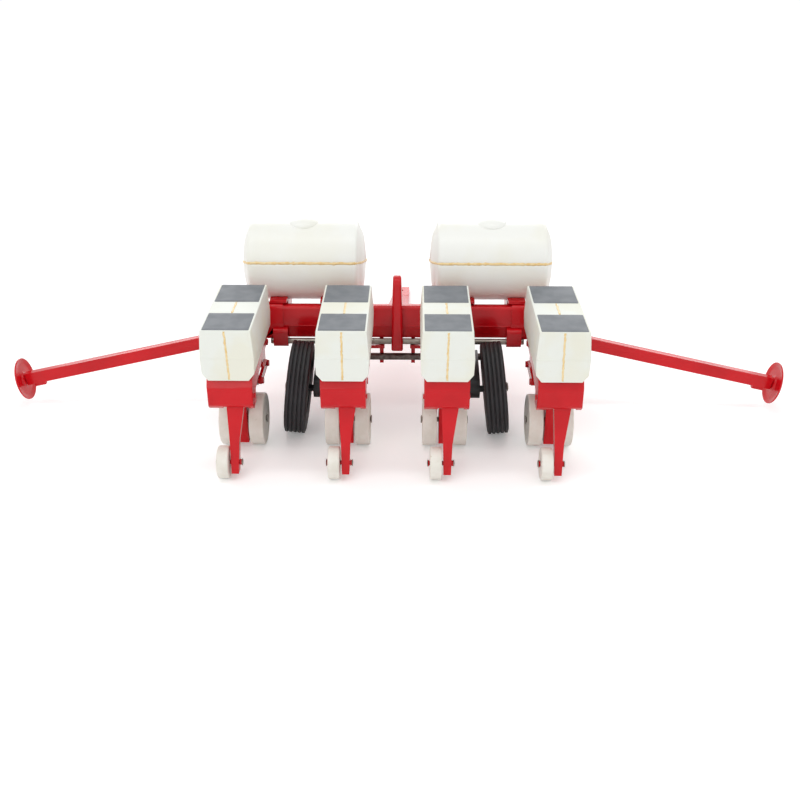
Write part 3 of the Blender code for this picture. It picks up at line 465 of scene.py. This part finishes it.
SEAM_TOP_GAP = 0.4 * MM             # between a seam's ends and the hopper's edges
SEAM_FOOT_GAP = 0.9 * MM
SEAM_LID_GAP = 0.6 * MM


def bead(name, body, path, outward, width_mm, proud_mm, seed, coat=yellowed_glue):
    """A run of squeezed-out glue along a path, uneven in width and slightly wandering."""
    shape = bmesh.new()
    sections = []
    for i, point in enumerate(path):
        out = Vector(outward[i]).normalized()
        along = (path[min(i + 1, len(path) - 1)] - path[max(i - 1, 0)]).normalized()
        aside = along.cross(out)
        centre = point + aside * noise.noise(Vector((i * 0.35, seed, 0))) * BEAD_WANDER
        swell = noise.noise(Vector((i * 0.8, seed, 5))) * BEAD_UNEVENNESS
        half_width = width_mm * (1 + swell) * MM / 2
        sections.append([shape.verts.new(centre + aside * a * half_width + out * h * proud_mm * MM)
                         for a, h in BEAD_ARCH])
    for first, second in zip(sections, sections[1:]):
        rings = [[shape.edges.get(pair) or shape.edges.new(pair) for pair in zip(ring, ring[1:])]
                 for ring in (first, second)]
        bmesh.ops.bridge_loops(shape, edges=rings[0] + rings[1])
    bmesh.ops.recalc_face_normals(shape, faces=shape.faces)
    made = piece(name, shape, coat, body, crisp=80)
    depth = made.modifiers.new("depth", "SOLIDIFY")
    depth.thickness = BEAD_WALL
    depth.offset = -1


def straight_bead(name, body, start, end, outward, steps, **look):
    """A bead from one point to another on a flat face."""
    path = [Vector(start).lerp(Vector(end), i / steps) for i in range(steps + 1)]
    bead(name, body, path, [outward] * len(path), **look)


def slab(low, high, seed, lift_mm):
    """A thin painted lid with soft edges and a slightly uneven top."""
    shape = bmesh.new()
    bmesh.ops.create_cube(shape, size=1.0)
    bmesh.ops.scale(shape, vec=high - low, verts=shape.verts)
    bmesh.ops.translate(shape, vec=(low + high) / 2, verts=shape.verts)
    upright = [e for e in shape.edges if abs((e.verts[0].co - e.verts[1].co).normalized().z) > 0.9]
    bmesh.ops.bevel(shape, geom=upright, offset=0.5 * MM, segments=3, profile=0.5, affect="EDGES",
                    material=-1)
    brim = [e for e in shape.edges if all(v.co.z > low.z + 0.01 * MM for v in e.verts)]
    bmesh.ops.bevel(shape, geom=brim, offset=0.12 * MM, segments=2, profile=0.5, affect="EDGES",
                    material=-1)
    for step in range(1, LID_CUTS):
        for axis in ((1, 0, 0), (0, 1, 0)):
            bmesh.ops.bisect_plane(shape, geom=shape.verts[:] + shape.edges[:] + shape.faces[:],
                                   plane_co=low.lerp(high, step / LID_CUTS), plane_no=axis, dist=MERGE_GAP)
    for v in shape.verts:
        if v.co.z > low.z + 0.05 * MM:
            swell = noise.noise(Vector((v.co.x, v.co.y, 0)) / LID_WAVES + Vector((seed, 0, 0)))
            v.co.z += swell * lift_mm * MM
    return shape


def hopper_mouldings(row):
    """A row's hopper with its two painted lids, its glued seams and the crease in its rear face."""
    hopper, body = "hopper_{}".format(row), "row_unit_{}".format(row)
    softened(hopper, aged_styrene, 0.45, 3)
    low, high = (Vector(corner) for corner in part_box(hopper))
    middle = (low.x + high.x) / 2
    for lid_name, (start, end) in (("rear", REAR_LID), ("front", FRONT_LID)):
        shape = slab(Vector((middle - LID_WIDTH / 2, low.y + start, high.z - LID_DEPTH)),
                     Vector((middle + LID_WIDTH / 2, low.y + end, high.z + LID_RISE)), row, 0.10)
        piece("{}_lid_{}".format(lid_name, row), shape, lid_paint, body, crisp=50)

    rear, front, top = low.y - 0.02 * MM, high.y + 0.02 * MM, high.z + 0.01 * MM
    seam_top, seam_foot = high.z - SEAM_TOP_GAP, low.z + SEAM_FOOT_GAP
    lean = REAR_SEAM_LEAN[row - 1]
    straight_bead("rear_seam_{}".format(row), body, (middle - lean, rear, seam_top),
                  (middle + lean, rear, seam_foot), BACKWARD, 30, width_mm=1.1, proud_mm=0.22, seed=row)
    crease = low.z + CREASE_HEIGHT
    half_face = (high.x - low.x) / 2 - 0.3 * MM
    straight_bead("rear_crease_{}".format(row), body, (middle - half_face, rear, crease),
                  (middle + half_face, rear, crease), BACKWARD, 20, width_mm=0.5, proud_mm=0.06,
                  seed=row + 30, coat=aged_styrene)
    straight_bead("top_seam_{}".format(row), body, (middle, low.y + REAR_LID[1] + SEAM_LID_GAP, top),
                  (middle, low.y + FRONT_LID[0] - SEAM_LID_GAP, top), UPWARD, 14, width_mm=1.2,
                  proud_mm=0.18, seed=row + 10)
    straight_bead("front_seam_{}".format(row), body, (middle, front, seam_top), (middle, front, seam_foot),
                  FORWARD, 24, width_mm=1.0, proud_mm=0.2, seed=row + 20)


for row in ROWS:
    hopper_mouldings(row)


# ----------------------------------------------------------------------- tanks
TANK_RADIUS = 24.3 * MM
TANK_DOME = 5.2 * MM                # how far an end bulges
TANK_SHOULDER = 3.4 * MM            # the step in radius where an end starts
TANK_TILT = math.radians(13.5)      # of the seam, which is high at the back
TANK_WALL = 1.5 * MM
SEAM_STEP = 1.6 * MM                # longest stretch between points along the glue
FILLER_SINK = 2.0 * MM              # of the filler's foot below the crest of the tank


def glued_seam(side_name, side, profile, half, middle):
    """The bead of glue that runs all the way round a tank where its halves meet."""
    seam = Matrix.Translation(middle) @ Matrix.Rotation(-TANK_TILT, 4, "X")
    outline = [(x, -r) for x, r in reversed(profile)] + profile[1:]
    flat = []
    for (x0, y0), (x1, y1) in zip(outline, outline[1:]):
        steps = max(1, int(math.hypot(x1 - x0, y1 - y0) / SEAM_STEP))
        flat += [(x0 + (x1 - x0) * i / steps, y0 + (y1 - y0) * i / steps) for i in range(steps)]
    flat.append(outline[-1])
    path = [seam @ Vector((x, y, 0)) for x, y in flat]
    outward = []
    for x, y in flat:
        over_end = max(0.0, abs(x) - half + TANK_DOME * 1.4)
        outward.append(seam.to_3x3() @ Vector((over_end * math.copysign(4, x), y, 0)))
    bead("tank_seam_" + side_name, "frame", path, outward, width_mm=1.6, proud_mm=0.30, seed=40 + side)


def filler(side_name, middle):
    """The low domed filler lid on the crest of a tank."""
    foot = Vector((middle.x, middle.y, middle.z + TANK_RADIUS - FILLER_SINK))
    upright = Matrix.Translation(foot) @ Matrix.Rotation(-math.pi / 2, 4, "Y")
    dome_mm = ((0, 0), (0, 9.2), (1.6, 9.1), (3.1, 7.8), (4.1, 5.4), (4.6, 2.6), (4.7, 0))
    profile = rounded([(x * MM, r * MM) for x, r in dome_mm], 1.0 * MM)
    piece("tank_filler_" + side_name, turned(profile, upright, 64), tank_styrene, "frame")


def tank(side_name, side):
    """A tank of two moulded shells with bulged ends, glued at a tilted seam."""
    lower, upper = "tank_lower_" + side_name, "tank_upper_" + side_name
    low, high = (Vector(corner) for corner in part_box(lower))
    middle = Vector(((low.x + high.x) / 2, (low.y + high.y) / 2, low.z + TANK_RADIUS))
    half = (high.x - low.x) / 2
    quarter = [math.pi / 2 * i / 10 for i in range(9)]
    bulge = [(half - TANK_DOME + TANK_DOME * math.cos(a), (TANK_RADIUS - TANK_SHOULDER) * math.sin(a))
             for a in quarter]
    end = rounded([bulge[0], *bulge[5:], (half - TANK_DOME, TANK_RADIUS), (0, TANK_RADIUS)], 4.0 * MM, 6)
    profile = both_faces(end, 0)
    for cad_node, start in ((lower, math.pi / 2 - TANK_TILT), (upper, -math.pi / 2 - TANK_TILT)):
        # turning about +X takes +Z towards -Y, so the seam is high at the back
        shape = turned(profile, Matrix.Translation(middle), 48, start, math.pi)
        shell = piece(cad_node + "_shell", shape, tank_styrene, "frame", (cad_node,), 50)
        wall = shell.modifiers.new("wall", "SOLIDIFY")
        wall.thickness = TANK_WALL
        wall.offset = -1
    glued_seam(side_name, side, profile, half, middle)
    filler(side_name, middle)


for side_name, side in SIDES:
    tank(side_name, side)


# ----------------------------------------------------------------------- stage
WHITE = linear("#FFFFFF")
FLOOR_DROP = 0.2 * MM               # below the wheels, so that the two never share a plane
FLOOR_GLOW = 0.19                   # for the camera only, so that paper in the light reads as white
DAYLIGHT = 0.82                     # of the room on the model; the camera and gloss see full white
CAMERA_PLACE = (0.0095, -0.6592, 0.3052)
CAMERA_DOWN = math.radians(26.53)
CAMERA_TURN = math.radians(0.75)
CAMERA_LENS = 47.3


def paper_floor():
    """A white paper sweep that keeps the model's shadow."""
    shape = bmesh.new()
    bmesh.ops.create_grid(shape, x_segments=1, y_segments=1, size=6.0)
    mesh = bpy.data.meshes.new("studio_floor")
    shape.to_mesh(mesh)
    shape.free()
    paper = bpy.data.materials.new("white_paper_sweep")
    paper.use_nodes = True
    tree = paper.node_tree
    surface = tree.nodes["Principled BSDF"]
    surface.inputs["Base Color"].default_value = WHITE
    surface.inputs["Roughness"].default_value = 0.9
    surface.inputs["Specular IOR Level"].default_value = 0.0
    surface.inputs["Emission Color"].default_value = WHITE
    rays = node(tree, "LightPath")
    glow = node(tree, "Math", {"operation": "MULTIPLY"}, {1: FLOOR_GLOW}, {0: rays.outputs["Is Camera Ray"]})
    tree.links.new(glow.outputs[0], surface.inputs["Emission Strength"])
    mesh.materials.append(paper)
    floor = bpy.data.objects.new("studio_floor", mesh)
    floor.location.z = -FLOOR_DROP
    bpy.context.scene.collection.objects.link(floor)


def daylight():
    """An even white room, whiter to the camera and in gloss than the light it gives."""
    world = bpy.data.worlds.new("studio")
    bpy.context.scene.world = world
    world.use_nodes = True
    sky = world.node_tree
    rays = node(sky, "LightPath")
    seen = node(sky, "Math", {"operation": "MAXIMUM"},
                links={0: rays.outputs["Is Camera Ray"], 1: rays.outputs["Is Glossy Ray"]})
    level = node(sky, "MapRange", values={"To Min": DAYLIGHT, "To Max": 1.0},
                 links={"Value": seen.outputs[0]})
    background = sky.nodes["Background"]
    background.inputs["Color"].default_value = WHITE
    sky.links.new(level.outputs["Result"], background.inputs["Strength"])


def softbox(name, location, target, size, watts, height=None):
    """A large soft lamp aimed at a point: round, or an oblong where it is given a height."""
    lamp = bpy.data.lights.new(name, "AREA")
    lamp.shape = "RECTANGLE" if height else "DISK"
    lamp.size = size
    lamp.size_y = height or size
    lamp.energy = watts
    made = bpy.data.objects.new(name, lamp)
    made.location = location
    made.rotation_euler = (Vector(target) - Vector(location)).to_track_quat("-Z", "Y").to_euler()
    bpy.context.scene.collection.objects.link(made)


paper_floor()
daylight()
softbox("overhead", (0.0, -0.25, 1.15), (0, 0, 0.03), size=1.6, height=0.15, watts=2.2)
softbox("back_strip", (0.0, 1.45, 0.60), (0, 0, 0.04), size=2.0, height=0.5, watts=7.5)
softbox("behind_camera", (-0.5, -1.3, 0.9), (0, 0, 0.05), size=0.8, watts=2.4)

camera_data = bpy.data.cameras.new("camera")
camera_data.sensor_width = 36.0
camera_data.lens = CAMERA_LENS
camera = bpy.data.objects.new("camera", camera_data)
camera.location = CAMERA_PLACE
camera.rotation_euler = (math.pi / 2 - CAMERA_DOWN, 0, CAMERA_TURN)
bpy.context.scene.collection.objects.link(camera)
bpy.context.scene.camera = camera
bpy.context.scene.view_settings.view_transform = "Standard"
